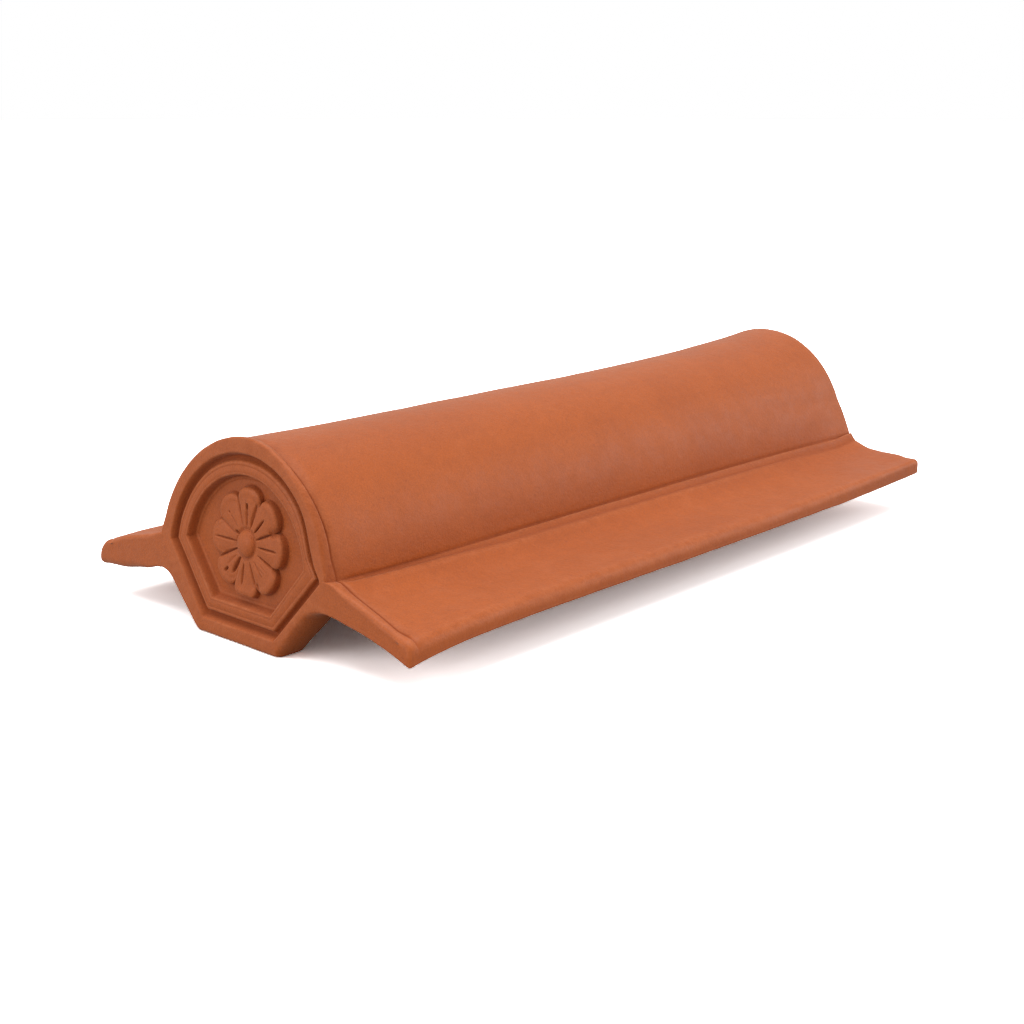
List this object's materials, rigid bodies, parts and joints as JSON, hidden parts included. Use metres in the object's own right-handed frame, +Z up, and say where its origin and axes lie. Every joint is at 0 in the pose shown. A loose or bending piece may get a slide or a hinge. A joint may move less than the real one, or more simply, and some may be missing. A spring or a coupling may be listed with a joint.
{
  "type": "decorative ridge end tile",
  "caption": "Half-round clay ridge end tile with flat side wings, a flared rear end and a thick arched front plate carrying a sunk panel with a rosette.",
  "frame": {"origin": "on the floor, under the middle of the tile's overall length and width", "axes": "+Y along the tile from the decorated front face to the flared rear end, +X to the right of somebody looking at the rear from the front, +Z up"},
  "size_m": [0.2308, 0.4492, 0.1031],
  "materials": {
    "terracotta": "smooth matt to satin fired clay"
  },
  "bodies": {
    "root": {"ridge_tile": "terracotta"}
  },
  "joints": []
}
